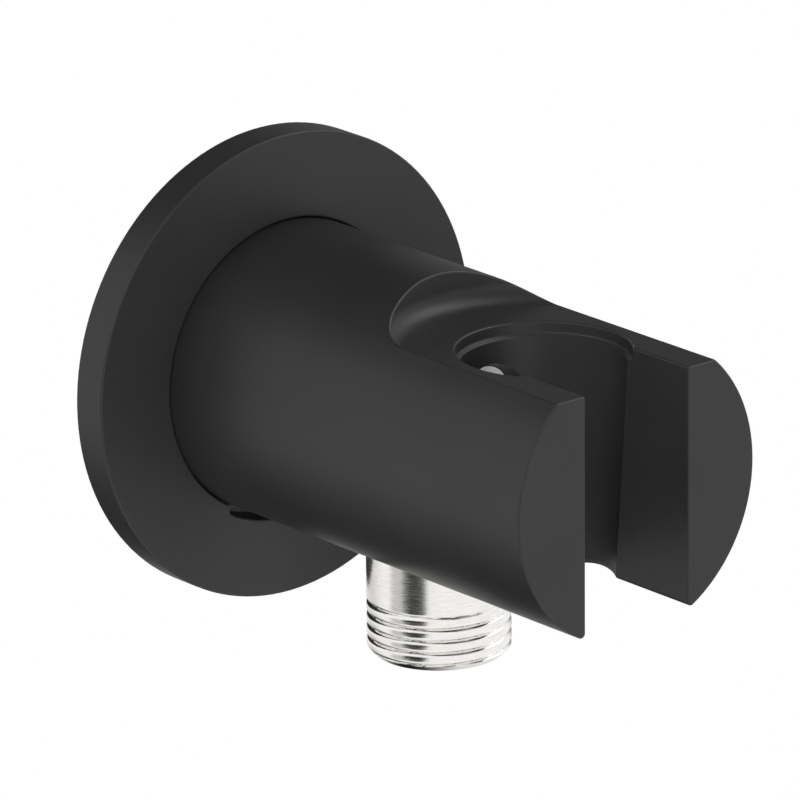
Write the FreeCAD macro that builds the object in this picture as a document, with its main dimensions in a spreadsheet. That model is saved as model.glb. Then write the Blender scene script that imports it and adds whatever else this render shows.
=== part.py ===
import FreeCAD, Part
import math
import os
import types

import Sketcher

# Wall outlet elbow with a hand shower cradle, in millimetres.
# The wall is the plane y = 0 and the elbow reaches into the room along -Y, with +Z up.
# The origin is on the body's axis at the wall, where the inlet thread enters the wall.

DRIVING_SIZES = [
    ("body_radius", 22.0, "outside of the round body"),
    ("body_reach", 81.8, "wall to the front faces of the cradle arms"),
    ("wall_gap", 0.8, "body's rear end to the wall"),
    ("rear_cavity_radius", 17.5, "core cast into the rear of the body"),
    ("fine_edge", 0.3, "radius on the edges that look sharp"),
    ("cradle_ahead", 17.0, "spindle's front end to the cradle's upright axis"),
    ("flat_height", 16.3, "body axis to the flat on top of the cradle"),
    ("dish_radius", 22.7, "wall that rises behind the flat, round the cradle axis"),
    ("dish_fillet", 2.8, "foot of that wall"),
    ("rim_radius", 12.55, "counterbore at the mouth of the cradle"),
    ("rim_depth", 1.7, "depth of the counterbore"),
    ("ledge_drop", 0.4, "height of the sloping ledge under the counterbore"),
    ("seat_radius", 11.9, "tapered seat at its upper end"),
    ("seat_taper", 0.04, "radius that the seat loses for each millimetre of depth"),
    ("slot_width", 19.3, "gap between the cradle arms"),
    ("arm_toe_radius", 0.7, "lower edges of the slot and the seat"),
    ("screw_height", 5.7, "body axis to the fixing screw's axis"),
    ("screw_head_radius", 4.7, "countersunk head of the fixing screw"),
    ("screw_head_height", 2.8, "head of the fixing screw"),
    ("screw_shank_radius", 2.5, "thread of the fixing screw"),
    ("screw_shank_length", 5.2, "thread below the head"),
    ("screw_key_flats", 3.0, "hexagon socket in the screw's head"),
    ("screw_key_depth", 1.8, "depth of that socket"),
    ("hole_flare", 0.85, "how much the screw's hole widens in front of the head"),
    ("hole_flare_depth", 1.9, "length of that widening"),
    ("screw_clearance", 0.1, "between the fixing screw and its hole in the body, all round"),
    ("screw_thread_clearance", 0.06, "between the fixing screw and its tapped hole, all round"),
    ("screw_tip_gap", 0.5, "left below the fixing screw's tip"),
    ("screw_web", 1.0, "metal between the screw's head and the spindle bore"),
    ("spindle_radius", 12.5, "spindle that the body slides over"),
    ("spindle_reach", 45.0, "wall to the spindle's front end"),
    ("bore_length", 25.0, "spindle's front end back to the mouth of its bore in the body"),
    ("spindle_clearance", 0.1, "between the spindle and the body, all round"),
    ("spindle_end_gap", 0.2, "between the spindle's front end and the bottom of its bore"),
    ("spindle_lead", 1.0, "chamfer on the spindle's front end and in the body's mouth"),
    ("spindle_water_radius", 4.0, "water way along the spindle"),
    ("water_way_end", 0.8, "water way past the cross holes"),
    ("gallery_back", 10.0, "spindle's front end back to the middle of the ring gallery"),
    ("gallery_width", 7.6, "ring gallery along the spindle"),
    ("gallery_depth", 2.5, "ring gallery into the spindle"),
    ("port_radius", 3.2, "cross holes from the spindle to the outlet"),
    ("collar_flats", 27.0, "hexagon collar that screws the spindle home"),
    ("collar_width", 6.0, "collar along the spindle"),
    ("collar_bevel", 0.4, "bevel round the collar's rear face, inside its flats"),
    ("inlet_thread_radius", 10.4775, "crest of the G 1/2 inlet thread"),
    ("inlet_length", 13.0, "inlet thread behind the wall"),
    ("inlet_chamfer", 1.2, "lead at the end of the inlet thread"),
    ("inlet_neck_radius", 9.3, "neck between the inlet thread and the collar"),
    ("inlet_seal_width", 2.0, "washer on that neck, between the collar and the wall fitting"),
    ("inlet_seal_radius", 13.0, "outside of that washer"),
    ("inlet_seal_play", 0.1, "between that washer and the neck, all round"),
    ("ring_cord", 1.8, "section of the spindle's sealing rings"),
    ("ring_play", 0.5, "extra width of each ring's groove"),
    ("rear_ring_back", 18.5, "spindle's front end back to the rear sealing ring"),
    ("front_ring_back", 3.2, "spindle's front end back to the front sealing ring"),
    ("plate_radius", 35.0, "outside of the round wall plate"),
    ("plate_thickness", 5.5, "wall to the plate's front face"),
    ("plate_skin", 2.2, "front wall of the hollow plate"),
    ("plate_rim", 3.2, "rim round the back of the plate"),
    ("plate_hub", 3.4, "collar round the plate's centre hole"),
    ("plate_clearance", 0.15, "between the plate and the body, all round"),
    ("notch_gap", 1.3, "clear of the body in the drain notch under it"),
    ("notch_half_width", 11.4, "half of the drain notch"),
    ("grip_cord", 1.8, "section of the ring that grips the plate"),
    ("grip_from_wall", 2.6, "wall to the grip ring"),
    ("gasket_bore", 19.0, "bore radius of the foam gasket between the plate's collar and the wall"),
    ("gasket_inset", 0.2, "outside of that collar to the outside of the gasket"),
    ("nipple_back", 6.1, "spindle's front end back to the outlet's upright axis"),
    ("nipple_drop", 12.9, "underside of the body to the outlet's end"),
    ("nipple_thread_radius", 10.4775, "crest of the G 1/2 outlet thread"),
    ("nipple_chamfer", 1.1, "lead at the end of the outlet thread"),
    ("thread_length", 7.2, "outlet's end to the groove where its thread runs out"),
    ("runout_width", 0.9, "groove where the outlet thread runs out"),
    ("runout_depth", 0.5, "depth of that groove"),
    ("nipple_clearance", 0.06, "between the outlet and its tapped socket, and round its washer"),
    ("socket_roof", 2.0, "metal between the spindle bore and the outlet socket"),
    ("nipple_seal_height", 1.5, "washer at the top of the outlet socket"),
    ("nipple_seal_bore", 6.0, "bore radius of that washer"),
    ("valve_pocket_radius", 7.6, "seat of the check valve inside the outlet"),
    ("mouth_length", 3.9, "outlet's end to the shoulder under the check valve"),
    ("mouth_flats", 10.0, "hexagon socket in the outlet's mouth"),
    ("valve_clearance", 0.1, "between the valve cage and its pocket, all round"),
    ("cage_wall", 1.0, "wall of the valve cage"),
    ("seat_plate", 3.0, "top of the cage, which holds its ring and the valve seat"),
    ("seat_hole_radius", 4.2, "water way through the cage's top"),
    ("cage_ring_cord", 1.5, "section of the cage's sealing ring"),
    ("cage_foot_height", 0.8, "inner rim that the stem guide sits on"),
    ("cage_foot_width", 0.8, "inner rim that the stem guide sits on, across"),
    ("poppet_radius", 5.2, "disc of the check valve's poppet"),
    ("poppet_disc", 1.0, "thickness of that disc"),
    ("poppet_nose_radius", 3.3, "nose of the poppet, inside its seal"),
    ("poppet_nose_height", 1.6, "nose of the poppet above the disc"),
    ("poppet_seal_height", 0.7, "rubber seal on the poppet's disc"),
    ("poppet_seal_play", 0.05, "between that seal and the poppet's nose, and inside the disc's rim"),
    ("poppet_gap", 0.05, "closed seal to its seat"),
    ("spring_gap", 0.05, "between the valve spring and its seat at each end"),
    ("stem_radius", 1.1, "stem of the poppet"),
    ("stem_clearance", 0.1, "between the stem and its guide, all round"),
    ("stem_tail", 0.5, "stem below its guide"),
    ("guide_height", 1.5, "stem guide in the cage's foot"),
    ("guide_hub_radius", 2.6, "hub of the stem guide"),
    ("guide_ring_width", 0.8, "outer ring of the stem guide"),
    ("guide_arm_width", 1.2, "arms of the stem guide"),
    ("spring_radius", 1.95, "middle of the spring's wire"),
    ("spring_wire_radius", 0.22, "wire of the valve spring"),
    ("spring_turns", 5.0, "coils of the valve spring"),
]

GUIDE_ARMS = 3
FULL_TURN = 360.0
TOUCHING = 0.02


class Size:
    """A length that carries both its value and its formula in the sheet's names."""

    def __init__(self, value, formula):
        self.value = value
        self.formula = formula

    def __add__(self, other):
        other = as_size(other)
        return Size(self.value + other.value, f"({self.formula} + {other.formula})")

    def __sub__(self, other):
        other = as_size(other)
        return Size(self.value - other.value, f"({self.formula} - {other.formula})")

    def __mul__(self, other):
        other = as_size(other)
        return Size(self.value * other.value, f"({self.formula} * {other.formula})")

    def __truediv__(self, other):
        other = as_size(other)
        return Size(self.value / other.value, f"({self.formula} / {other.formula})")

    def __neg__(self):
        return Size(-self.value, f"(0 - {self.formula})")


def as_size(number):
    """A plain number as a Size; a Size stays as it is."""
    if isinstance(number, Size):
        return number
    return Size(float(number), f"{float(number):.9f}")


def root(square):
    """The square root of a Size."""
    return Size(math.sqrt(square.value), f"sqrt({square.formula})")


ZERO = as_size(0)


def make_sheet(doc):
    """Write the driving sizes into a spreadsheet and return them by name."""
    sheet = doc.addObject("Spreadsheet::Sheet", "Sizes")
    for row, (name, value, note) in enumerate(DRIVING_SIZES, start=1):
        sheet.set(f"A{row}", name)
        sheet.set(f"B{row}", str(value))
        sheet.set(f"C{row}", note)
        sheet.setAlias(f"B{row}", name)
    doc.recompute()
    named = {name: Size(sheet.get(name), f"Sizes.{name}") for name, _, _ in DRIVING_SIZES}
    return types.SimpleNamespace(**named)


def new_body(doc, label):
    """An empty body whose label names its file."""
    body = doc.addObject("PartDesign::Body", label)
    body.Label = label
    return body


def sketch_on(body, name, role, lift=ZERO, shift=ZERO):
    """A sketch on one of the body's origin planes, lifted off it and shifted along its first axis."""
    plane = next(item for item in body.Origin.OriginFeatures if item.Role == role)
    sketch = body.newObject("Sketcher::SketchObject", name)
    sketch.AttachmentSupport = [(plane, "")]
    sketch.MapMode = "FlatFace"
    sketch.setExpression("AttachmentOffset.Base.z", lift.formula)
    sketch.setExpression("AttachmentOffset.Base.x", shift.formula)
    return sketch


def bind_constraint(sketch, constraint, size):
    """Add a dimension to a sketch and tie it to the sheet."""
    index = sketch.addConstraint(constraint)
    sketch.setExpression(f"Constraints[{index}]", size.formula)


def pin_point(sketch, element, end, point):
    """Hold one point of a sketch at its distances from the sketch's origin."""
    for kind, size in zip(("DistanceX", "DistanceY"), point):
        constraint = Sketcher.Constraint(kind, -1, 1, element, end, size.value)
        bind_constraint(sketch, constraint, size)


def vector(point):
    """The place of a sketch point as it is drawn."""
    return FreeCAD.Vector(point[0].value, point[1].value, 0)


def draw_outline(sketch, corners):
    """A closed outline of straight lines through the corners."""
    first = sketch.GeometryCount
    count = len(corners)
    for number, here in enumerate(corners):
        there = corners[(number + 1) % count]
        sketch.addGeometry(Part.LineSegment(vector(here), vector(there)), False)
    for number, corner in enumerate(corners):
        following = first + (number + 1) % count
        sketch.addConstraint(Sketcher.Constraint("Coincident", first + number, 2, following, 1))
        pin_point(sketch, first + number, 1, corner)


def draw_circle(sketch, radius, centre=(ZERO, ZERO)):
    """A circle of the given radius."""
    circle = Part.Circle(vector(centre), FreeCAD.Vector(0, 0, 1), radius.value)
    element = sketch.addGeometry(circle, False)
    pin_point(sketch, element, 3, centre)
    bind_constraint(sketch, Sketcher.Constraint("Radius", element, radius.value), radius)


def hexagon(across_flats, height=ZERO):
    """Corners of a hexagon with two corners level with its centre."""
    outer = across_flats / math.sqrt(3)
    half = across_flats / 2
    return [
        (outer, height),
        (outer / 2, height + half),
        (-outer / 2, height + half),
        (-outer, height),
        (-outer / 2, height - half),
        (outer / 2, height - half),
    ]


def revolve(body, name, kind, role, corners, lift=ZERO, shift=ZERO):
    """Turn an outline of (radius, place along the axis) about the sketch's upright axis."""
    sketch = sketch_on(body, f"{name}_outline", role, lift, shift)
    draw_outline(sketch, corners)
    feature = body.newObject(f"PartDesign::{kind}", name)
    feature.Profile = sketch
    feature.ReferenceAxis = (sketch, ["V_Axis"])
    feature.Angle = FULL_TURN
    return feature


def extrude(body, name, kind, sketch, length, backwards=False):
    """Pad or pocket a sketch by a length."""
    feature = body.newObject(f"PartDesign::{kind}", name)
    feature.Profile = sketch
    feature.setExpression("Length", length.formula)
    feature.Reversed = backwards
    return feature


def edges_through(feature, points):
    """Names of the feature's edges that pass through the given points."""
    edges = feature.Shape.Edges
    names = []
    for point in points:
        spot = Part.Vertex(point)
        reach, nearest = min((edge.distToShape(spot)[0], number) for number, edge in enumerate(edges, 1))
        if reach > TOUCHING:
            raise RuntimeError(f"{feature.Label} has no edge at {point}")
        if f"Edge{nearest}" not in names:
            names.append(f"Edge{nearest}")
    return names


def round_edges(body, name, radius, points):
    """Fillet the edges of the body's tip that pass through the points."""
    body.Document.recompute()
    tip = body.Tip
    names = edges_through(tip, points)
    feature = body.newObject("PartDesign::Fillet", name)
    feature.Base = (tip, names)
    feature.setExpression("Radius", radius.formula)
    body.Tip = feature
    body.Document.recompute()


def cut_checked(body, before):
    """Recompute and make sure that the last cut took metal away."""
    body.Document.recompute()
    if body.Shape.Volume > before - TOUCHING:
        raise RuntimeError(f"{body.Tip.Label} removed nothing")
    return body.Shape.Volume


def derived(size):
    """Places that several pieces share, worked out from the driving sizes."""
    place = types.SimpleNamespace()
    place.cradle_axis = size.spindle_reach + size.cradle_ahead
    place.nipple_axis = size.spindle_reach - size.nipple_back
    place.gallery = size.spindle_reach - size.gallery_back
    place.rear_ring = size.spindle_reach - size.rear_ring_back
    place.front_ring = size.spindle_reach - size.front_ring_back
    place.cavity_floor = size.spindle_reach - size.bore_length
    place.bore_radius = size.spindle_radius + size.spindle_clearance
    place.bore_end = size.spindle_reach + size.spindle_end_gap
    place.screw_face = place.bore_end + size.screw_web + size.screw_head_height
    place.flare_radius = size.screw_head_radius + size.screw_clearance + size.hole_flare
    place.socket_top = place.bore_radius + size.socket_roof
    place.nipple_top = place.socket_top + size.nipple_seal_height
    place.nipple_end = size.body_radius + size.nipple_drop
    place.seat_top = size.flat_height - size.rim_depth - size.ledge_drop
    place.plate_hole = size.body_radius + size.plate_clearance
    place.plate_hub = place.plate_hole + size.plate_hub
    place.grip_floor = size.body_radius + size.plate_clearance - size.grip_cord
    place.valve_shoulder = place.nipple_end - size.mouth_length
    place.cage_radius = size.valve_pocket_radius - size.valve_clearance
    place.cage_top = place.nipple_top + size.valve_clearance
    place.cage_bore = place.cage_radius - size.cage_wall
    place.seat_face = place.cage_top + size.seat_plate
    place.disc_top = place.seat_face + size.poppet_gap + size.poppet_seal_height
    place.guide_foot = place.valve_shoulder - size.cage_foot_height
    place.guide_top = place.guide_foot - size.guide_height
    return place


def make_holder_body(doc, size, place):
    """Cast body: round bar with the cradle in front, the spindle bore behind and the outlet below."""
    body = new_body(doc, "holder_body")
    groove = size.grip_cord / 2 + size.ring_play / 2
    revolve(body, "round_bar", "Revolution", "XY_Plane", [
        (size.rear_cavity_radius, -size.wall_gap),
        (size.body_radius, -size.wall_gap),
        (size.body_radius, -(size.grip_from_wall - groove)),
        (place.grip_floor, -(size.grip_from_wall - groove)),
        (place.grip_floor, -(size.grip_from_wall + groove)),
        (size.body_radius, -(size.grip_from_wall + groove)),
        (size.body_radius, -size.body_reach),
        (ZERO, -size.body_reach),
        (ZERO, -place.bore_end),
        (place.bore_radius, -place.bore_end),
        (place.bore_radius, -(place.cavity_floor + size.spindle_lead)),
        (place.bore_radius + size.spindle_lead, -place.cavity_floor),
        (size.rear_cavity_radius, -place.cavity_floor),
    ])
    doc.recompute()
    volume = body.Shape.Volume

    dish = sketch_on(body, "dish_outline", "XY_Plane", lift=size.flat_height)
    draw_dish(dish, size, place)
    extrude(body, "dish", "Pocket", dish, size.body_radius, backwards=True)
    volume = cut_checked(body, volume)

    revolve(body, "tapered_seat", "Groove", "YZ_Plane", [
        (ZERO, size.body_radius),
        (size.rim_radius, size.body_radius),
        (size.rim_radius, size.flat_height - size.rim_depth),
        (size.seat_radius, place.seat_top),
        (size.seat_radius - size.seat_taper * (place.seat_top + size.body_radius), -size.body_radius),
        (ZERO, -size.body_radius),
    ], shift=-place.cradle_axis)
    volume = cut_checked(body, volume)

    slot = sketch_on(body, "slot_outline", "XY_Plane")
    half = size.slot_width / 2
    draw_outline(slot, [
        (-half, -place.cradle_axis),
        (half, -place.cradle_axis),
        (half, -(size.body_reach + size.body_radius)),
        (-half, -(size.body_reach + size.body_radius)),
    ])
    cut = extrude(body, "slot", "Pocket", slot, size.body_radius * 2)
    cut.SideType = "Symmetric"
    volume = cut_checked(body, volume)

    round_edges(body, "dish_foot", size.dish_fillet, [dish_foot_point(size, place)])
    round_edges(body, "arm_toes", size.arm_toe_radius, toe_points(size, place))
    round_edges(body, "fine_edges", size.fine_edge, fine_edge_points(size, place))
    volume = body.Shape.Volume

    revolve(body, "screw_hole", "Groove", "XY_Plane", [
        (ZERO, -place.cradle_axis),
        (place.flare_radius, -place.cradle_axis),
        (place.flare_radius, -(place.screw_face + size.hole_flare_depth)),
        (size.screw_head_radius + size.screw_clearance, -place.screw_face),
        (size.screw_shank_radius + size.screw_clearance, -(place.bore_end + size.screw_web)),
        (size.screw_shank_radius + size.screw_clearance, -size.spindle_reach),
        (ZERO, -size.spindle_reach),
    ], lift=size.screw_height)
    volume = cut_checked(body, volume)

    socket = sketch_on(body, "outlet_socket_outline", "XY_Plane", lift=-place.socket_top)
    draw_circle(socket, size.nipple_thread_radius + size.nipple_clearance, (ZERO, -place.nipple_axis))
    extrude(body, "outlet_socket", "Pocket", socket, size.body_radius)
    volume = cut_checked(body, volume)

    port = sketch_on(body, "outlet_port_outline", "XY_Plane")
    draw_circle(port, size.port_radius, (ZERO, -place.gallery))
    extrude(body, "outlet_port", "Pocket", port, size.body_radius)
    cut_checked(body, volume)
    return body


def draw_dish(sketch, size, place):
    """A U-shaped outline: half a circle behind the cradle axis and straight sides to the front."""
    radius = size.dish_radius
    axis = -place.cradle_axis
    front = -(size.body_reach + size.dish_radius)
    circle = Part.Circle(vector((ZERO, axis)), FreeCAD.Vector(0, 0, 1), radius.value)
    arc = sketch.addGeometry(Part.ArcOfCircle(circle, 0, math.pi), False)
    pin_point(sketch, arc, 3, (ZERO, axis))
    bind_constraint(sketch, Sketcher.Constraint("Radius", arc, radius.value), radius)
    corners = [(-radius, axis), (-radius, front), (radius, front), (radius, axis)]
    sides = []
    for here, there in zip(corners, corners[1:]):
        sides.append(sketch.addGeometry(Part.LineSegment(vector(here), vector(there)), False))
    left, across, right = sides
    for chain in ((arc, 2, left, 1), (left, 2, across, 1), (across, 2, right, 1), (right, 2, arc, 1)):
        sketch.addConstraint(Sketcher.Constraint("Coincident", *chain))
    pin_point(sketch, across, 1, corners[1])
    pin_point(sketch, across, 2, corners[2])
    for end in (1, 2):
        bind_constraint(sketch, Sketcher.Constraint("DistanceY", -1, 1, arc, end, axis.value), axis)


def dish_foot_point(size, place):
    """A point on the edge between the flat and the wall behind it."""
    return FreeCAD.Vector(0, size.dish_radius.value - place.cradle_axis.value, size.flat_height.value)


def toe_points(size, place):
    """Points on the lower edges of the slot and of the seat."""
    half = size.slot_width.value / 2
    radius = size.body_radius.value
    middle = -(place.cradle_axis.value + size.body_reach.value) / 2
    height = -math.sqrt(radius ** 2 - half ** 2)
    seat_foot = size.seat_radius.value - size.seat_taper.value * (place.seat_top.value + radius)
    toes = [FreeCAD.Vector(side * half, middle - half / 2, height) for side in (-1, 1)]
    return toes + [FreeCAD.Vector(0, seat_foot - place.cradle_axis.value, -radius)]


def fine_edge_points(size, place):
    """Points on the outlines of the front faces, the flat, the slot, the seat and the dish."""
    radius = size.body_radius.value
    front = -size.body_reach.value
    axis = -place.cradle_axis.value
    flat = size.flat_height.value
    half = size.slot_width.value / 2
    flat_edge = math.sqrt(radius ** 2 - flat ** 2)
    between = (half + flat_edge) / 2
    rim_meets_slot = axis - math.sqrt(size.rim_radius.value ** 2 - half ** 2)
    along = (front + rim_meets_slot) / 2
    seat_foot = size.seat_radius.value - size.seat_taper.value * (place.seat_top.value + radius)
    points = [
        FreeCAD.Vector(0, axis + size.dish_radius.value, radius),
        FreeCAD.Vector(0, axis + size.rim_radius.value, flat),
        FreeCAD.Vector(0, axis + size.rim_radius.value, flat - size.rim_depth.value),
        FreeCAD.Vector(0, axis + size.seat_radius.value, place.seat_top.value),
    ]
    for side in (-1, 1):
        points.append(FreeCAD.Vector(side * radius, front, 0))
        points.append(FreeCAD.Vector(side * half, front, 0))
        points.append(FreeCAD.Vector(side * between, front, flat))
        points.append(FreeCAD.Vector(side * half, along, flat))
        points.append(FreeCAD.Vector(side * flat_edge, along, flat))
    return points


def make_wall_plate(doc, size, place):
    """Round wall plate: hollow behind, with a rim, a hub round the body and a drain notch."""
    body = new_body(doc, "wall_plate")
    rim = size.plate_radius - size.plate_rim
    revolve(body, "plate", "Revolution", "XY_Plane", [
        (place.plate_hole, -size.plate_thickness),
        (size.plate_radius, -size.plate_thickness),
        (size.plate_radius, ZERO),
        (rim, ZERO),
        (rim, -(size.plate_thickness - size.plate_skin)),
        (place.plate_hub, -(size.plate_thickness - size.plate_skin)),
        (place.plate_hub, -size.wall_gap),
        (place.plate_hole, -size.wall_gap),
    ])
    doc.recompute()
    volume = body.Shape.Volume
    notch = sketch_on(body, "drain_notch_outline", "XZ_Plane")
    draw_notch(notch, size)
    extrude(body, "drain_notch", "Pocket", notch, size.plate_thickness, backwards=True)
    cut_checked(body, volume)
    front = -size.plate_thickness.value
    notch = size.body_radius.value + size.notch_gap.value
    round_edges(body, "fine_edges", size.fine_edge, [
        FreeCAD.Vector(0, front, size.plate_radius.value),
        FreeCAD.Vector(0, front, place.plate_hole.value),
        FreeCAD.Vector(0, front, -notch),
    ])
    return body


def draw_notch(sketch, size):
    """The drain notch: an arc just clear of the body, with upright sides."""
    radius = size.body_radius + size.notch_gap
    half = size.notch_half_width
    drop = root(radius * radius - half * half)
    top = root(size.body_radius * size.body_radius - half * half)
    start = math.pi + math.atan2(drop.value, half.value)
    circle = Part.Circle(FreeCAD.Vector(0, 0, 0), FreeCAD.Vector(0, 0, 1), radius.value)
    end = 2 * math.pi - math.atan2(drop.value, half.value)
    arc = sketch.addGeometry(Part.ArcOfCircle(circle, start, end), False)
    pin_point(sketch, arc, 3, (ZERO, ZERO))
    bind_constraint(sketch, Sketcher.Constraint("Radius", arc, radius.value), radius)
    corners = [(half, -drop), (half, -top / 2), (-half, -top / 2), (-half, -drop)]
    sides = []
    for here, there in zip(corners, corners[1:]):
        sides.append(sketch.addGeometry(Part.LineSegment(vector(here), vector(there)), False))
    right, across, left = sides
    for chain in ((arc, 2, right, 1), (right, 2, across, 1), (across, 2, left, 1), (left, 2, arc, 1)):
        sketch.addConstraint(Sketcher.Constraint("Coincident", *chain))
    pin_point(sketch, across, 1, corners[1])
    pin_point(sketch, across, 2, corners[2])
    for end_of_arc, side in ((1, -half), (2, half)):
        constraint = Sketcher.Constraint("DistanceX", -1, 1, arc, end_of_arc, side.value)
        bind_constraint(sketch, constraint, side)


def make_sealing_ring(doc, label, role, radius, cord, along):
    """A round rubber ring about the body's Y or Z axis: radius to the middle of its cord."""
    body = new_body(doc, label)
    sketch = sketch_on(body, "cord_section", role)
    draw_circle(sketch, cord / 2, (radius, along))
    feature = body.newObject("PartDesign::Revolution", "ring")
    feature.Profile = sketch
    feature.ReferenceAxis = (sketch, ["V_Axis"])
    feature.Angle = FULL_TURN
    return body


def make_washer(doc, label, role, inner, outer, near, far):
    """A flat ring about the body's Y or Z axis, between two places along it."""
    body = new_body(doc, label)
    revolve(body, "washer", "Revolution", role, [(inner, near), (outer, near), (outer, far), (inner, far)])
    return body


def groove_corners(outer, floor, middle, width):
    """The four corners of a groove in a turned outline that runs out from the wall."""
    return [
        (outer, -(middle - width / 2)),
        (floor, -(middle - width / 2)),
        (floor, -(middle + width / 2)),
        (outer, -(middle + width / 2)),
    ]


def make_wall_spindle(doc, size, place):
    """Brass spindle: inlet thread, hexagon collar, sealing grooves, ring gallery and water ways."""
    body = new_body(doc, "wall_spindle")
    radius = size.spindle_radius
    ring_floor = place.bore_radius - size.ring_cord
    ring_width = size.ring_cord + size.ring_play
    outline = [
        (ZERO, size.inlet_length),
        (size.inlet_thread_radius - size.inlet_chamfer, size.inlet_length),
        (size.inlet_thread_radius, size.inlet_length - size.inlet_chamfer),
        (size.inlet_thread_radius, ZERO),
        (size.inlet_neck_radius, ZERO),
        (size.inlet_neck_radius, -size.inlet_seal_width),
        (radius, -size.inlet_seal_width),
    ]
    outline += groove_corners(radius, ring_floor, place.rear_ring, ring_width)
    outline += groove_corners(radius, radius - size.gallery_depth, place.gallery, size.gallery_width)
    outline += groove_corners(radius, ring_floor, place.front_ring, ring_width)
    outline += [
        (radius, -(size.spindle_reach - size.spindle_lead)),
        (radius - size.spindle_lead, -size.spindle_reach),
        (ZERO, -size.spindle_reach),
    ]
    revolve(body, "spindle", "Revolution", "XY_Plane", outline)

    collar = sketch_on(body, "collar_outline", "XZ_Plane", lift=size.inlet_seal_width)
    draw_outline(collar, hexagon(size.collar_flats))
    extrude(body, "collar", "Pad", collar, size.collar_width)
    doc.recompute()
    volume = body.Shape.Volume

    corner = size.collar_flats / math.sqrt(3)
    face = size.collar_flats / 2 - size.collar_bevel
    revolve(body, "collar_bevel", "Groove", "XY_Plane", [
        (face, -size.inlet_seal_width),
        (corner, -size.inlet_seal_width),
        (corner, -(size.inlet_seal_width + (corner - face) / 2)),
    ])
    volume = cut_checked(body, volume)

    water_end = place.gallery + size.port_radius + size.water_way_end
    revolve(body, "water_way", "Groove", "XY_Plane", [
        (ZERO, size.inlet_length),
        (size.spindle_water_radius, size.inlet_length),
        (size.spindle_water_radius, -water_end),
        (ZERO, -water_end),
    ])
    volume = cut_checked(body, volume)

    ports = sketch_on(body, "cross_ports_outline", "XY_Plane")
    draw_circle(ports, size.port_radius, (ZERO, -place.gallery))
    cut = extrude(body, "cross_ports", "Pocket", ports, radius * 2)
    cut.SideType = "Symmetric"
    volume = cut_checked(body, volume)

    thread_end = place.bore_end + size.screw_web - size.screw_shank_length - size.screw_tip_gap
    thread = size.screw_shank_radius + size.screw_thread_clearance
    revolve(body, "screw_thread", "Groove", "XY_Plane", [
        (ZERO, -size.spindle_reach),
        (thread, -size.spindle_reach),
        (thread, -thread_end),
        (ZERO, -(thread_end - thread / 2)),
    ], lift=size.screw_height)
    cut_checked(body, volume)
    return body


def make_fixing_screw(doc, size, place):
    """Countersunk screw with a hexagon socket, which ties the body to the spindle."""
    body = new_body(doc, "fixing_screw")
    under_head = place.screw_face - size.screw_head_height
    tip = under_head - size.screw_shank_length
    lead = size.screw_shank_radius / 4
    revolve(body, "screw", "Revolution", "XY_Plane", [
        (ZERO, -place.screw_face),
        (size.screw_head_radius, -place.screw_face),
        (size.screw_shank_radius, -under_head),
        (size.screw_shank_radius, -(tip + lead)),
        (size.screw_shank_radius - lead, -tip),
        (ZERO, -tip),
    ], lift=size.screw_height)
    doc.recompute()
    volume = body.Shape.Volume
    socket = sketch_on(body, "key_socket_outline", "XZ_Plane", lift=place.screw_face)
    draw_outline(socket, hexagon(size.screw_key_flats, size.screw_height))
    extrude(body, "key_socket", "Pocket", socket, size.screw_key_depth)
    cut_checked(body, volume)
    return body


def make_outlet_nipple(doc, size, place):
    """Plated nipple: thread for the hose, pocket for the check valve and a hexagon in its mouth."""
    body = new_body(doc, "outlet_nipple")
    thread = size.nipple_thread_radius
    lead = size.nipple_chamfer / 2
    mouth = size.mouth_flats / 2
    thread_top = place.nipple_end - size.thread_length
    revolve(body, "nipple", "Revolution", "XZ_Plane", [
        (size.valve_pocket_radius, -place.nipple_top),
        (thread - lead, -place.nipple_top),
        (thread, -(place.nipple_top + lead)),
        (thread, -(thread_top - size.runout_width)),
        (thread - size.runout_depth, -(thread_top - size.runout_width / 2)),
        (thread, -thread_top),
        (thread, -(place.nipple_end - size.nipple_chamfer)),
        (thread - size.nipple_chamfer, -place.nipple_end),
        (mouth, -place.nipple_end),
        (mouth, -place.valve_shoulder),
        (size.valve_pocket_radius, -place.valve_shoulder),
    ])
    doc.recompute()
    volume = body.Shape.Volume
    socket = sketch_on(body, "key_socket_outline", "XY_Plane", lift=-place.nipple_end)
    draw_outline(socket, hexagon(size.mouth_flats))
    extrude(body, "key_socket", "Pocket", socket, size.mouth_length, backwards=True)
    cut_checked(body, volume)
    return body


def make_valve_cage(doc, size, place):
    """Cage of the check valve: seat and ring groove at the top, inner rim at the foot."""
    body = new_body(doc, "valve_cage")
    floor = size.valve_pocket_radius - size.cage_ring_cord
    groove = groove_corners(place.cage_radius, floor, place.cage_top + size.seat_plate / 2,
                            size.cage_ring_cord + size.ring_play / 2)
    foot = place.cage_bore - size.cage_foot_width
    outline = [(size.seat_hole_radius, -place.cage_top), (place.cage_radius, -place.cage_top)]
    outline += groove
    outline += [
        (place.cage_radius, -place.valve_shoulder),
        (foot, -place.valve_shoulder),
        (foot, -place.guide_foot),
        (place.cage_bore, -place.guide_foot),
        (place.cage_bore, -place.seat_face),
        (size.seat_hole_radius, -place.seat_face),
    ]
    revolve(body, "cage", "Revolution", "XZ_Plane", outline)
    return body


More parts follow.
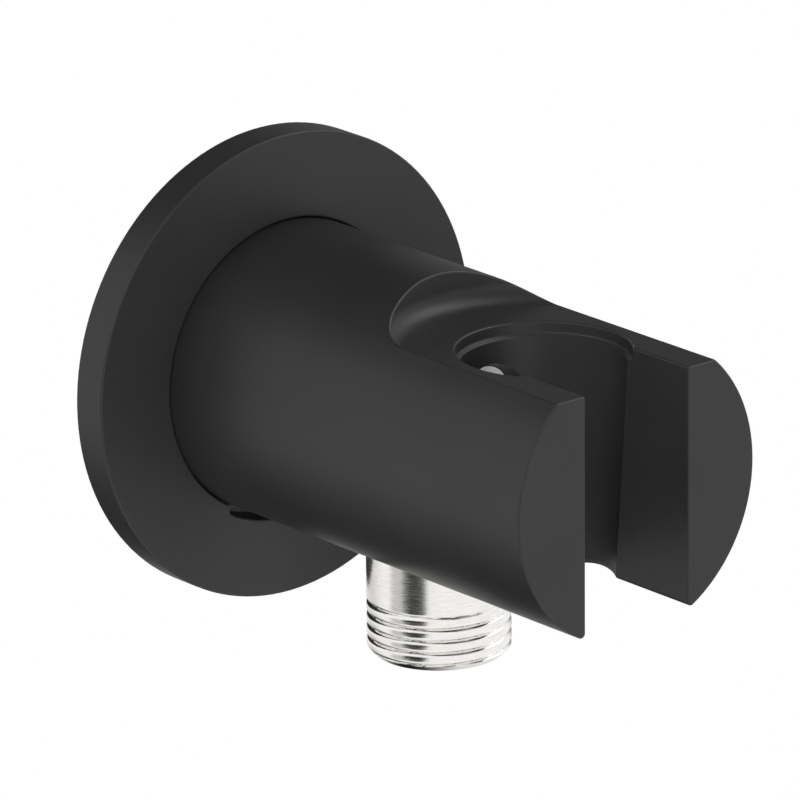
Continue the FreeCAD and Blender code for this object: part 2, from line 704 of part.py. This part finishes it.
def make_valve_poppet(doc, size, place):
    """Poppet of the check valve: disc, nose and stem in one moulding."""
    body = new_body(doc, "valve_poppet")
    nose_top = place.disc_top - size.poppet_nose_height
    disc_foot = place.disc_top + size.poppet_disc
    bevel = size.poppet_nose_height / 2
    revolve(body, "poppet", "Revolution", "XZ_Plane", [
        (ZERO, -nose_top),
        (size.poppet_nose_radius - bevel, -nose_top),
        (size.poppet_nose_radius, -(nose_top + bevel)),
        (size.poppet_nose_radius, -place.disc_top),
        (size.poppet_radius, -place.disc_top),
        (size.poppet_radius, -disc_foot),
        (size.stem_radius, -disc_foot),
        (size.stem_radius, -(place.guide_foot + size.stem_tail)),
        (ZERO, -(place.guide_foot + size.stem_tail)),
    ])
    return body


def make_stem_guide(doc, size, place):
    """Spider in the cage's foot: a hub for the stem, a ring, and arms that let the water by."""
    body = new_body(doc, "stem_guide")
    outer = place.cage_bore - size.valve_clearance
    inner = outer - size.guide_ring_width
    hub = sketch_on(body, "hub_outline", "XY_Plane", lift=-place.guide_foot)
    draw_circle(hub, size.guide_hub_radius)
    extrude(body, "hub", "Pad", hub, size.guide_height)

    arm_outline = sketch_on(body, "arm_outline", "XY_Plane", lift=-place.guide_foot)
    half = size.guide_arm_width / 2
    reach = inner + size.guide_ring_width / 2
    draw_outline(arm_outline, [(ZERO, -half), (reach, -half), (reach, half), (ZERO, half)])
    arm = extrude(body, "arm", "Pad", arm_outline, size.guide_height)
    doc.recompute()
    arms = body.newObject("PartDesign::PolarPattern", "arms")
    arms.Originals = [arm]
    arms.Axis = (arm_outline, ["N_Axis"])
    arms.Angle = FULL_TURN
    arms.Occurrences = GUIDE_ARMS
    body.Tip = arms
    doc.recompute()

    revolve(body, "outer_ring", "Revolution", "XZ_Plane", [
        (inner, -place.guide_foot),
        (outer, -place.guide_foot),
        (outer, -place.guide_top),
        (inner, -place.guide_top),
    ])
    doc.recompute()
    volume = body.Shape.Volume
    bore = sketch_on(body, "stem_bore_outline", "XY_Plane", lift=-place.guide_foot)
    draw_circle(bore, size.stem_radius + size.stem_clearance)
    extrude(body, "stem_bore", "Pocket", bore, size.guide_height, backwards=True)
    cut_checked(body, volume)
    return body


def make_valve_spring(doc, size, place):
    """Coil spring between the poppet's disc and the stem guide: a wire swept along a helix."""
    wire = size.spring_wire_radius
    foot = place.guide_top - wire - size.spring_gap
    head = place.disc_top + size.poppet_disc + wire + size.spring_gap
    coil = doc.addObject("Part::Helix", "spring_coil")
    coil.setExpression("Radius", size.spring_radius.formula)
    coil.setExpression("Height", (foot - head).formula)
    coil.setExpression("Pitch", ((foot - head) / size.spring_turns).formula)
    section = doc.addObject("Part::Circle", "spring_wire")
    section.setExpression("Radius", wire.formula)
    section.Placement.Rotation = FreeCAD.Rotation(FreeCAD.Vector(1, 0, 0), FULL_TURN / 4)
    section.setExpression("Placement.Base.x", size.spring_radius.formula)
    for item in (coil, section):
        item.setExpression("Placement.Base.y", (-place.nipple_axis).formula)
        item.setExpression("Placement.Base.z", (-foot).formula)
    doc.recompute()
    spring = doc.addObject("Part::Sweep", "valve_spring")
    spring.Label = "valve_spring"
    spring.Sections = [section]
    spring.Spine = (coil, [f"Edge{number + 1}" for number in range(len(coil.Shape.Edges))])
    spring.Solid = True
    spring.Frenet = True
    return spring


def make_seals(doc, size, place):
    """Rings, washers and the gasket, in the order in which they meet the wall."""
    ring_radius = place.bore_radius - size.ring_cord / 2
    cage_ring_height = -(place.cage_top + size.seat_plate / 2)
    wall_pieces = [
        make_washer(doc, "wall_gasket", "XY_Plane", size.gasket_bore, place.plate_hub - size.gasket_inset,
                    ZERO, -size.wall_gap),
        make_sealing_ring(doc, "plate_grip_ring", "XY_Plane", place.plate_hole - size.grip_cord / 2,
                          size.grip_cord, -size.grip_from_wall),
        make_washer(doc, "inlet_washer", "XY_Plane", size.inlet_neck_radius + size.inlet_seal_play,
                    size.inlet_seal_radius, ZERO, -size.inlet_seal_width),
        make_sealing_ring(doc, "rear_spindle_ring", "XY_Plane", ring_radius, size.ring_cord,
                          -place.rear_ring),
        make_sealing_ring(doc, "front_spindle_ring", "XY_Plane", ring_radius, size.ring_cord,
                          -place.front_ring),
    ]
    outlet_pieces = [
        make_washer(doc, "nipple_washer", "XZ_Plane", size.nipple_seal_bore,
                    size.nipple_thread_radius - size.nipple_clearance, -place.socket_top, -place.nipple_top),
        make_sealing_ring(doc, "cage_ring", "XZ_Plane", size.valve_pocket_radius - size.cage_ring_cord / 2,
                          size.cage_ring_cord, cage_ring_height),
        make_washer(doc, "poppet_seal", "XZ_Plane", size.poppet_nose_radius + size.poppet_seal_play,
                    size.poppet_radius - size.poppet_seal_play, -(place.seat_face + size.poppet_gap),
                    -place.disc_top),
    ]
    return wall_pieces, outlet_pieces


def check_document(doc, pieces):
    """Stop if anything failed to build."""
    for item in doc.Objects:
        if "Invalid" in item.State or "Error" in item.State:
            raise RuntimeError(f"{item.Label} failed: {item.State}")
    for piece in pieces:
        if piece.Shape.isNull() or not piece.Shape.isValid():
            raise RuntimeError(f"{piece.Label} has no valid shape")
        print(f"{piece.Label}: {len(piece.Shape.Solids)} solid, {piece.Shape.Volume:.1f} cubic mm")


def main():
    doc = FreeCAD.newDocument("wall_outlet_elbow")
    size = make_sheet(doc)
    place = derived(size)
    wall_pieces, outlet_pieces = make_seals(doc, size, place)
    for maker in (make_holder_body, make_wall_plate, make_wall_spindle, make_fixing_screw):
        wall_pieces.append(maker(doc, size, place))
    for maker in (make_outlet_nipple, make_valve_cage, make_valve_poppet, make_stem_guide):
        outlet_pieces.append(maker(doc, size, place))
    for piece in outlet_pieces:
        piece.setExpression("Placement.Base.y", (-place.nipple_axis).formula)
    pieces = wall_pieces + outlet_pieces + [make_valve_spring(doc, size, place)]
    doc.recompute()
    check_document(doc, pieces)
    os.makedirs("parts", exist_ok=True)
    for piece in pieces:
        piece.Shape.exportStep(f"parts/{piece.Label}.step")


main()
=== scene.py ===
import math

import bmesh
import bpy
from mathutils import Matrix, Vector

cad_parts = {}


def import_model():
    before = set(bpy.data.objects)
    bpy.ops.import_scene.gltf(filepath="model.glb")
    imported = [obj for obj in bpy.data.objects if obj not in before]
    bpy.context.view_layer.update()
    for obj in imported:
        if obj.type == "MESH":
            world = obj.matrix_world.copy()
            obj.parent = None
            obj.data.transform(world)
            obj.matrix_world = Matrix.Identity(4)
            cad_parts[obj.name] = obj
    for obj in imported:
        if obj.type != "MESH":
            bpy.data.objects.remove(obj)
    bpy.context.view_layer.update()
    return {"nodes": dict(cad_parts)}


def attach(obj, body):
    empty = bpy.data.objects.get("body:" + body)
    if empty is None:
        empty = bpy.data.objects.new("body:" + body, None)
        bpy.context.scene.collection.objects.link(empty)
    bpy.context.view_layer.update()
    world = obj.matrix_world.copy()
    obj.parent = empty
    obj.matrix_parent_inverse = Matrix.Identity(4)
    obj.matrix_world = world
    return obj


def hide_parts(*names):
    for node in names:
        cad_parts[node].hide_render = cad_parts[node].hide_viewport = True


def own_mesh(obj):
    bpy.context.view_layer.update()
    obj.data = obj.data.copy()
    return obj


# Looks of the wall outlet elbow. Metres, in the model's frame: the wall is the plane y = 0.

# Both G 1/2 threads. A higher power makes the crests broader and the grooves narrower.
PITCH = 0.001814
CREST = 0.0104775
THREAD_DEPTH = 0.0005
CREST_POWER = 4

# The outlet, with the size and place of its solid. Its thread fades in between two heights, and one
# crest passes the left edge of the photograph's outlet at CREST_AT_LEFT.
THREAD_FADES_IN = (-0.0258, -0.0272)
CREST_AT_LEFT = -0.0279
LEFT_ANGLE = math.radians(139.7)
CHAMFER_STARTS = -0.0338
OUTLET_Y = -0.0389
OUTLET_TOP = -0.0161
TOP_CHAMFER = 0.00055
OUTLET_END = -0.0349
SHOULDER = -0.031
POCKET = 0.0076
MOUTH_FLAT = 0.005
MOUTH_CHAMFER = 0.0003

# The inlet behind the wall. The solid spindle is cut across its neck. NECK and WATER_WAY are radii.
NECK_CUT = -0.001
NECK = 0.0093
INLET_END = 0.013
INLET_END_CHAMFER = 0.0012
INLET_START_CHAMFER = 0.0004
WATER_WAY = 0.004

# How fine the threaded meshes are, how near corners are joined, and where shading turns sharp.
POINTS_AROUND = 192
RINGS_ALONG = 240
JOINED_WITHIN = 0.000001
SHARP_EDGE = math.radians(38)

# Camera, fitted to the photograph's edges.
AZIMUTH = math.radians(-40.27)
ELEVATION = math.radians(18.526)
ROLL = math.radians(-0.478)
DISTANCE = 1.3363
TARGET = Vector((0, -0.03712, 0))
OFF_AXIS = (-0.004215, 0.002386)
LENS = 419.5
SENSOR_WIDTH = 36
CLIP_FROM = 0.05
CLIP_TO = 50

WHITE = (1, 1, 1, 1)
EVEN = (1, 1, 1)
FLOOR_TONE = (0.8, 0.8, 0.8, 1)
FLOOR_WIDTH = 8
FLOOR_HEIGHT = -0.32

# Studio. What shines sees a white room with soft cards in it. Each card: its direction, the angles
# within which it is full and past which it is gone, and how far it lies under white, or over it.
CARDS = (
    ((0.1, 0.6, 0.8), 20, 45, -1),
    ((0.3, 0.55, -0.78), 20, 50, -0.19),
    ((-0.1, 0.6, -0.8), 15, 40, -0.81),
    ((-0.96, -0.18, -0.2), 14, 24, -0.96),
    ((-0.89, 0.32, -0.32), 8, 16, -0.4),
    ((0.75, 0.62, 0.1), 10, 35, -0.76),
    ((0.1, -0.6, 0.8), 20, 45, -0.8),
    ((0.6, -0.3, 0.75), 5, 30, 3),
)
# Each lamp: its place, its width and its power.
LAMPS = (
    ((-0.5, -1.05, 0.1), 0.5, 9.7),
    ((-0.8, 0.1, 0.9), 0.7, 6.3),
)
FILL = 0.3


def socket(node, name, value):
    """Set a shader input to a value, or link it to an output."""
    if isinstance(value, bpy.types.NodeSocket):
        node.id_data.links.new(value, node.inputs[name])
    else:
        node.inputs[name].default_value = value


def add(tree, kind, inputs=(), **settings):
    """A node with its settings and inputs."""
    node = tree.nodes.new(kind)
    for name, value in settings.items():
        setattr(node, name, value)
    for name, value in dict(inputs).items():
        socket(node, name, value)
    return node


def math_node(tree, operation, first, second):
    """The result of one calculation on two numbers or outputs."""
    return add(tree, "ShaderNodeMath", {0: first, 1: second}, operation=operation).outputs[0]


def new_material(name, **surface):
    """A material with one Principled shader."""
    made = bpy.data.materials.new(name)
    made.use_nodes = True
    tree = made.node_tree
    shader = tree.nodes["Principled BSDF"]
    for key, value in surface.items():
        shader.inputs[key.replace("_", " ")].default_value = value
    return made, tree, shader


def place_noise(tree, stretch, scale, detail=3.0, rough=0.55):
    """Noise over the object's own coordinates, stretched along each axis."""
    coords = add(tree, "ShaderNodeTexCoord")
    mapping = add(tree, "ShaderNodeMapping", {"Vector": coords.outputs["Object"], "Scale": stretch})
    return add(tree, "ShaderNodeTexNoise", {
        "Vector": mapping.outputs[0], "Scale": scale, "Detail": detail, "Roughness": rough,
    })


def between(tree, factor, low, high):
    """The factor's range from 0.3 to 0.7 spread from low to high."""
    spread = add(tree, "ShaderNodeMapRange", {
        "Value": factor, "From Min": 0.3, "From Max": 0.7, "To Min": low, "To Max": high,
    })
    return spread.outputs[0]


def mixed(tree, factor, first, second):
    """A number between the first and the second, by the factor."""
    return add(tree, "ShaderNodeMix", {0: factor, 2: first, 3: second}).outputs[0]


def bump(tree, shader, height, depth):
    """Relief of the surface, as deep as given."""
    node = add(tree, "ShaderNodeBump", {"Height": height, "Strength": 1.0, "Distance": depth})
    socket(shader, "Normal", node.outputs[0])


def tinted(tree, shader, factor, dark, light):
    """Base colour that wanders between two tones. The node's sockets 6, 7 and 2 are those for colour."""
    tones = add(tree, "ShaderNodeMix", {0: factor, 6: (*dark, 1), 7: (*light, 1)}, data_type="RGBA")
    socket(shader, "Base Color", tones.outputs[2])


def powder_coat():
    """Satin black powder coat: smooth, with a very fine orange peel."""
    made, tree, shader = new_material("black_coat", IOR=1.35)
    cloud = place_noise(tree, EVEN, scale=60)
    dark, light = (0.0205, 0.0205, 0.021), (0.0235, 0.0237, 0.0235)
    tinted(tree, shader, between(tree, cloud.outputs[0], 0, 1), dark, light)
    peel = place_noise(tree, EVEN, scale=2600, detail=2)
    socket(shader, "Roughness", between(tree, cloud.outputs[0], 0.385, 0.415))
    bump(tree, shader, peel.outputs[0], depth=0.000006)
    return made


def turned_metal(name, dark, light, stretch, roughness, depth):
    """Turned or plated metal. Its tool marks are fine along the axis with the largest stretch."""
    made, tree, shader = new_material(name, Metallic=1.0)
    marks = place_noise(tree, stretch, scale=600, detail=4, rough=0.6)
    tinted(tree, shader, between(tree, marks.outputs[0], 0, 1), dark, light)
    socket(shader, "Roughness", between(tree, marks.outputs[0], roughness * 0.75, roughness * 1.25))
    bump(tree, shader, marks.outputs[0], depth)
    return made


def soft_material(name, dark, light, roughness, scale, depth):
    """Zinc, rubber, foam, fibre or moulded plastic with an even grain."""
    made, tree, shader = new_material(name, Roughness=roughness)
    grain = place_noise(tree, EVEN, scale, detail=4)
    tinted(tree, shader, between(tree, grain.outputs[0], 0, 1), dark, light)
    bump(tree, shader, grain.outputs[0], depth)
    return made


def dress(nodes, names, material):
    """Give the named nodes one material."""
    for name in names:
        data = nodes[name].data
        data.materials.clear()
        data.materials.append(material)


def thread_groove(along):
    """Depth of the groove at a way along the axis from a crest."""
    from_crest = 1 - abs((along / PITCH) % 1 - 0.5) * 2
    return THREAD_DEPTH * from_crest ** CREST_POWER


def outlet_radius(angle, height):
    """Outside of the outlet: thread, its fading start and the chamfer at the end."""
    crest = CREST_AT_LEFT + PITCH * (angle - LEFT_ANGLE) / math.tau
    start, full = THREAD_FADES_IN
    blend = min(max((start - height) / (start - full), 0), 1)
    radius = CREST - thread_groove(height - crest) * blend * blend * (3 - 2 * blend)
    return min(radius, CREST - (CHAMFER_STARTS - height))


def inlet_radius(angle, way):
    """Outside of the inlet thread, with a chamfer at each end."""
    radius = CREST - thread_groove(way - PITCH * angle / math.tau)
    return min(radius, CREST - (way - INLET_END + INLET_END_CHAMFER), CREST - (INLET_START_CHAMFER - way))


def mouth_radius(angle):
    """The hexagon of the outlet's mouth, with a corner at angle 0."""
    sixth = math.tau / 6
    return MOUTH_FLAT / math.cos(angle % sixth - sixth / 2)


def threaded_outlet():
    """The outlet as one closed mesh: rings of points that go down the outside and up the inside."""
    angles = [math.tau * step / POINTS_AROUND for step in range(POINTS_AROUND)]
    start = OUTLET_TOP - TOP_CHAMFER
    rings = [[(CREST - TOP_CHAMFER, OUTLET_TOP)] * POINTS_AROUND]
    for step in range(RINGS_ALONG + 1):
        height = start + (OUTLET_END - start) * step / RINGS_ALONG
        rings.append([(outlet_radius(angle, height), height) for angle in angles])
    rings.append([(mouth_radius(angle) + MOUTH_CHAMFER, OUTLET_END) for angle in angles])
    rings.append([(mouth_radius(angle), OUTLET_END + MOUTH_CHAMFER) for angle in angles])
    rings.append([(mouth_radius(angle), SHOULDER) for angle in angles])
    rings.append([(POCKET, SHOULDER)] * POINTS_AROUND)
    rings.append([(POCKET, OUTLET_TOP)] * POINTS_AROUND)
    work = bmesh.new()
    loops = []
    for ring in rings:
        loops.append([
            work.verts.new((r * math.cos(angle), OUTLET_Y + r * math.sin(angle), height))
            for angle, (r, height) in zip(angles, ring)
        ])
    for number, upper in enumerate(loops):
        lower = loops[(number + 1) % len(loops)]
        for step in range(POINTS_AROUND):
            after = (step + 1) % POINTS_AROUND
            work.faces.new((upper[step], lower[step], lower[after], upper[after]))
    return piece_from(work, "threaded_outlet")


def draw_out(work, rim, way, radius_at):
    """A new ring of faces from a rim to a place along the inlet's axis. Gives the ring's new rim."""
    made = bmesh.ops.extrude_edge_only(work, edges=rim)["geom"]
    for vert in made:
        if isinstance(vert, bmesh.types.BMVert):
            angle = math.atan2(vert.co.x, vert.co.z)
            radius = radius_at(angle, way)
            vert.co = (radius * math.sin(angle), way, radius * math.cos(angle))
    return [edge for edge in made if isinstance(edge, bmesh.types.BMEdge)]


def welded(solid):
    """The mesh of a solid, its corners joined."""
    work = bmesh.new()
    work.from_mesh(solid.data)
    bmesh.ops.remove_doubles(work, verts=work.verts, dist=JOINED_WITHIN)
    return work


def threaded_spindle(solid):
    """The solid spindle up to its neck, and from there back a real inlet thread on the same water way."""
    work = welded(solid)
    bmesh.ops.bisect_plane(
        work, geom=[*work.verts, *work.edges, *work.faces],
        plane_co=(0, NECK_CUT, 0), plane_no=(0, 1, 0), clear_outer=True,
    )
    cut = [edge for edge in work.edges if edge.is_boundary]
    bore = [edge for edge in cut if edge.verts[0].co.length < (NECK + WATER_WAY) / 2]
    outside = [edge for edge in cut if edge not in bore]
    outside = draw_out(work, outside, 0, lambda angle, way: NECK)
    for ring in range(RINGS_ALONG + 1):
        outside = draw_out(work, outside, INLET_END * ring / RINGS_ALONG, inlet_radius)
    bore = draw_out(work, bore, INLET_END, lambda angle, way: WATER_WAY)
    bmesh.ops.bridge_loops(work, edges=outside + bore)
    return piece_from(work, "threaded_spindle")


def piece_from(work, name):
    """A new object from a finished bmesh, smooth but for its sharp edges."""
    bmesh.ops.recalc_face_normals(work, faces=work.faces)
    for face in work.faces:
        face.smooth = True
    for edge in work.edges:
        edge.smooth = edge.calc_face_angle(0) < SHARP_EDGE
    mesh = bpy.data.meshes.new(name)
    work.to_mesh(mesh)
    work.free()
    made = bpy.data.objects.new(name, mesh)
    bpy.context.scene.collection.objects.link(made)
    return made


def stand_in(piece, solid, material):
    """Show the piece where the solid was."""
    piece.data.materials.clear()
    piece.data.materials.append(material)
    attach(piece, "elbow")
    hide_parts(solid)


def press_spring(coil):
    """Give the spring its own copy of the mesh."""
    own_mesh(coil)


def make_camera():
    """The photograph's camera: a long lens from the front left, a little above."""
    back = Vector((
        math.sin(AZIMUTH) * math.cos(ELEVATION),
        -math.cos(AZIMUTH) * math.cos(ELEVATION),
        math.sin(ELEVATION),
    ))
    right = Vector((math.cos(AZIMUTH), math.sin(AZIMUTH), 0))
    up = back.cross(right)
    place = TARGET + back * DISTANCE + right * OFF_AXIS[0] + up * OFF_AXIS[1]
    turned_right = right * math.cos(ROLL) + up * math.sin(ROLL)
    turned_up = up * math.cos(ROLL) - right * math.sin(ROLL)
    axes = Matrix((turned_right, turned_up, back)).transposed()
    data = bpy.data.cameras.new("camera")
    data.sensor_width = SENSOR_WIDTH
    data.lens = LENS
    data.clip_start = CLIP_FROM
    data.clip_end = CLIP_TO
    camera = bpy.data.objects.new("camera", data)
    camera.matrix_world = Matrix.Translation(place) @ axes.to_4x4()
    bpy.context.scene.collection.objects.link(camera)
    bpy.context.scene.camera = camera


def card(tree, direction, axis, narrow, wide, strength):
    """A soft card in the room: full within the narrow angle of its axis, nothing past the wide one."""
    facing = add(tree, "ShaderNodeVectorMath", {0: direction}, operation="DOT_PRODUCT")
    facing.inputs[1].default_value = Vector(axis).normalized()
    edge = add(tree, "ShaderNodeMapRange", {
        "Value": facing.outputs["Value"],
        "From Min": math.cos(math.radians(wide)),
        "From Max": math.cos(math.radians(narrow)),
        "To Min": 0.0,
        "To Max": strength,
    }, interpolation_type="SMOOTHSTEP")
    return edge.outputs[0]


def make_world():
    """White where the camera looks; a white room with cards for what shines; even fill for the rest."""
    world = bpy.data.worlds.new("studio")
    bpy.context.scene.world = world
    world.use_nodes = True
    tree = world.node_tree
    tree.nodes.clear()
    direction = add(tree, "ShaderNodeTexCoord").outputs["Generated"]
    room = 1.0
    for axis, narrow, wide, strength in CARDS:
        room = math_node(tree, "ADD", room, card(tree, direction, axis, narrow, wide, strength))
    room = math_node(tree, "MAXIMUM", room, 0.0)
    path = add(tree, "ShaderNodeLightPath").outputs
    seen = math_node(tree, "MAXIMUM", path["Is Camera Ray"], path["Is Transmission Ray"])
    shine = mixed(tree, path["Is Glossy Ray"], FILL, room)
    level = mixed(tree, seen, shine, 1.0)
    sky = add(tree, "ShaderNodeBackground", {"Color": WHITE, "Strength": level})
    output = add(tree, "ShaderNodeOutputWorld")
    tree.links.new(sky.outputs[0], output.inputs["Surface"])


def make_floor():
    """A pale floor well under the part; white to the camera, and open to a camera that looks from below."""
    bpy.ops.mesh.primitive_plane_add(size=FLOOR_WIDTH, location=(0, 0, FLOOR_HEIGHT))
    floor = bpy.context.object
    floor.name = "floor"
    made = bpy.data.materials.new("pale_floor")
    made.use_nodes = True
    tree = made.node_tree
    tree.nodes.clear()
    path = add(tree, "ShaderNodeLightPath").outputs
    matt = add(tree, "ShaderNodeBsdfDiffuse", {"Color": FLOOR_TONE})
    white = add(tree, "ShaderNodeEmission", {"Color": WHITE, "Strength": 1.0})
    through = add(tree, "ShaderNodeBsdfTransparent")
    shown = add(tree, "ShaderNodeMixShader", {
        0: path["Is Camera Ray"], 1: matt.outputs[0], 2: white.outputs[0],
    })
    back = add(tree, "ShaderNodeNewGeometry").outputs["Backfacing"]
    either = add(tree, "ShaderNodeMixShader", {0: back, 1: shown.outputs[0], 2: through.outputs[0]})
    output = add(tree, "ShaderNodeOutputMaterial")
    tree.links.new(either.outputs[0], output.inputs["Surface"])
    floor.data.materials.append(made)
    floor.visible_glossy = False


def make_lamp(place, size, power):
    """A square lamp that points at the part. It lights what is matt; what shines shows the room."""
    data = bpy.data.lights.new("lamp", "AREA")
    data.size = size
    data.energy = power
    lamp = bpy.data.objects.new("lamp", data)
    lamp.location = place
    lamp.rotation_mode = "QUATERNION"
    lamp.rotation_quaternion = (TARGET - Vector(place)).to_track_quat("-Z", "Y")
    lamp.visible_glossy = False
    bpy.context.scene.collection.objects.link(lamp)


def dress_all(nodes):
    """A material for every node. Gives the three that the scene's own pieces use too."""
    nickel = turned_metal(
        "nickel", (0.8, 0.785, 0.755), (0.95, 0.94, 0.915), stretch=(1, 1, 8), roughness=0.18,
        depth=0.000012,
    )
    brass = turned_metal(
        "brass", (0.62, 0.44, 0.18), (0.78, 0.58, 0.28), stretch=(1, 8, 1), roughness=0.28, depth=0.00001,
    )
    steel = turned_metal(
        "steel", (0.6, 0.6, 0.6), (0.78, 0.78, 0.77), stretch=EVEN, roughness=0.3, depth=0.000005,
    )
    # Each soft material: its two tones, its roughness, and its grain's scale and depth.
    zinc = soft_material("zinc", (0.82, 0.82, 0.81), (0.88, 0.88, 0.87), 0.5, 1200, 0.000004)
    rubber = soft_material("rubber", (0.012, 0.012, 0.012), (0.02, 0.02, 0.02), 0.6, 900, 0.00001)
    foam = soft_material("foam", (0.06, 0.06, 0.06), (0.12, 0.12, 0.12), 0.9, 2500, 0.00008)
    fibre = soft_material("fibre", (0.2, 0.05, 0.03), (0.32, 0.1, 0.06), 0.8, 1500, 0.00003)
    white = soft_material("white_plastic", (0.74, 0.74, 0.71), (0.8, 0.8, 0.78), 0.4, 400, 0.000005)
    blue = soft_material("blue_plastic", (0.03, 0.12, 0.33), (0.04, 0.15, 0.4), 0.35, 400, 0.000005)
    dress(nodes, ["holder_body", "wall_plate"], powder_coat())
    dress(nodes, ["outlet_nipple"], nickel)
    dress(nodes, ["wall_spindle"], brass)
    dress(nodes, ["valve_spring"], steel)
    dress(nodes, ["fixing_screw"], zinc)
    dress(nodes, ["valve_cage", "stem_guide"], white)
    dress(nodes, ["valve_poppet"], blue)
    dress(nodes, ["poppet_seal", "cage_ring", "plate_grip_ring"], rubber)
    dress(nodes, ["rear_spindle_ring", "front_spindle_ring"], rubber)
    dress(nodes, ["nipple_washer", "inlet_washer"], fibre)
    dress(nodes, ["wall_gasket"], foam)
    return nickel, brass, steel


def main():
    """The dressed part in its studio."""
    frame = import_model()
    nodes = frame["nodes"]
    make_camera()
    make_world()
    make_floor()
    for place, size, power in LAMPS:
        make_lamp(place, size, power)

    nickel, brass, steel = dress_all(nodes)
    stand_in(threaded_outlet(), "outlet_nipple", nickel)
    stand_in(threaded_spindle(nodes["wall_spindle"]), "wall_spindle", brass)
    coil = piece_from(welded(nodes["valve_spring"]), "coil_spring")
    stand_in(coil, "valve_spring", steel)
    press_spring(coil)

    bpy.context.scene.view_settings.view_transform = "Standard"


main()
